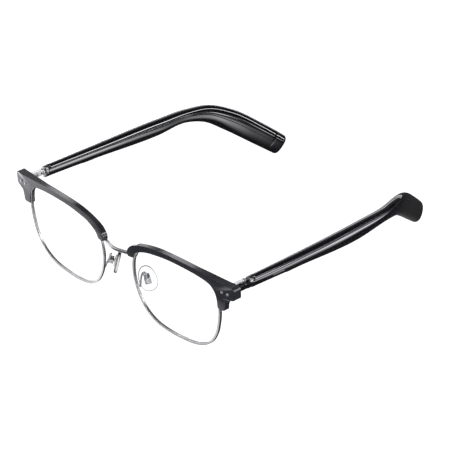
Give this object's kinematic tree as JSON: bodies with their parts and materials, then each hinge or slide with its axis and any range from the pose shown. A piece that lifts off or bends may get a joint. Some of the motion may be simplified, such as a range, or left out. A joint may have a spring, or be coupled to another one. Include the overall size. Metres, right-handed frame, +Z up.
{
  "type": "smart glasses",
  "caption": "Browline smart glasses with metal eyewires, clear lenses, adjustable nose pads and two folding temples that house battery, speaker, microphone and controls.",
  "frame": {"origin": "on the table, under the middle of the bounding box", "axes": "+X to the wearer's left, +Y from the lenses back to the temple tips, +Z up; the glasses stand open on their eyewires and temple tips"},
  "size_m": [0.1438, 0.1558, 0.0431],
  "materials": {
    "steel": "polished",
    "dark_steel": "satin",
    "slate": "satin",
    "gloss": "piano black",
    "lens": "clear",
    "silicone": "clear silicone",
    "board": "solder mask",
    "foil": "foil",
    "gold": "gold plated",
    "speaker": "woven mesh",
    "pipe": "clear acrylic"
  },
  "bodies": {
    "front": {"bridge": "steel", "left_brow": "slate", "left_hinge_leaf": "steel", "left_hinge_screw": "dark_steel", "left_leaf_screw": "dark_steel", "left_lens": "lens", "left_pad_arm": "steel", "left_pad_box": "steel", "left_pad_screw": "dark_steel", "left_rim": "steel", "left_rivet_inner": "steel", "left_rivet_outer": "steel", "right_brow": "slate", "right_hinge_leaf": "steel", "right_hinge_screw": "dark_steel", "right_leaf_screw": "dark_steel", "right_lens": "lens", "right_pad_arm": "steel", "right_pad_box": "steel", "right_pad_screw": "dark_steel", "right_rim": "steel", "right_rivet_inner": "steel", "right_rivet_outer": "steel"},
    "left_carriage": {"left_hinge_carriage": "steel", "left_hinge_spring": "steel"},
    "left_temple": {"left_badge": "steel", "left_battery": "foil", "left_charge_port": "gold", "left_collar": "steel", "left_light_pipe": "pipe", "left_main_board": "board", "left_microphone": "speaker", "left_speaker": "speaker", "left_speaker_grille": "speaker", "left_temple_lower": "gloss", "left_temple_upper": "gloss", "left_tip_cap": "gloss", "left_touch_strip": "gold"},
    "left_pad": {"left_nose_pad": "silicone", "left_pad_core": "steel"},
    "right_carriage": {"right_hinge_carriage": "steel", "right_hinge_spring": "steel"},
    "right_temple": {"right_battery": "foil", "right_charge_port": "gold", "right_collar": "steel", "right_light_pipe": "pipe", "right_main_board": "board", "right_microphone": "speaker", "right_speaker": "speaker", "right_speaker_grille": "speaker", "right_temple_lower": "gloss", "right_temple_upper": "gloss", "right_tip_cap": "gloss", "right_touch_strip": "gold"},
    "right_pad": {"right_nose_pad": "silicone", "right_pad_core": "steel"}
  },
  "joints": [
    {"name": "left_hinge", "type": "hinge", "parent": "front", "child": "left_carriage", "pos_m": [0.0668, -0.06177, 0.03811], "axis": [0, 0.053, 0.9986], "range_deg": [0, 84]},
    {"name": "left_spring_slide", "type": "slide", "parent": "left_carriage", "child": "left_temple", "axis": [0, 0.9986, -0.053], "range_m": [0, 0.0008], "stiffness_N_per_m": 2500},
    {"name": "left_pad_rock", "type": "hinge", "parent": "front", "child": "left_pad", "pos_m": [0.012, -0.06848, 0.01728], "axis": [0.5964, 0.7579, 0.2645], "range_deg": [-8, 8]},
    {"name": "right_hinge", "type": "hinge", "parent": "front", "child": "right_carriage", "pos_m": [-0.0668, -0.06177, 0.03811], "axis": [0, -0.053, -0.9986], "range_deg": [0, 68]},
    {"name": "right_spring_slide", "type": "slide", "parent": "right_carriage", "child": "right_temple", "axis": [0, 0.9986, -0.053], "range_m": [0, 0.0008], "stiffness_N_per_m": 2500},
    {"name": "right_pad_rock", "type": "hinge", "parent": "front", "child": "right_pad", "pos_m": [-0.012, -0.06848, 0.01728], "axis": [-0.5964, 0.7579, 0.2645], "range_deg": [-8, 8]}
  ]
}
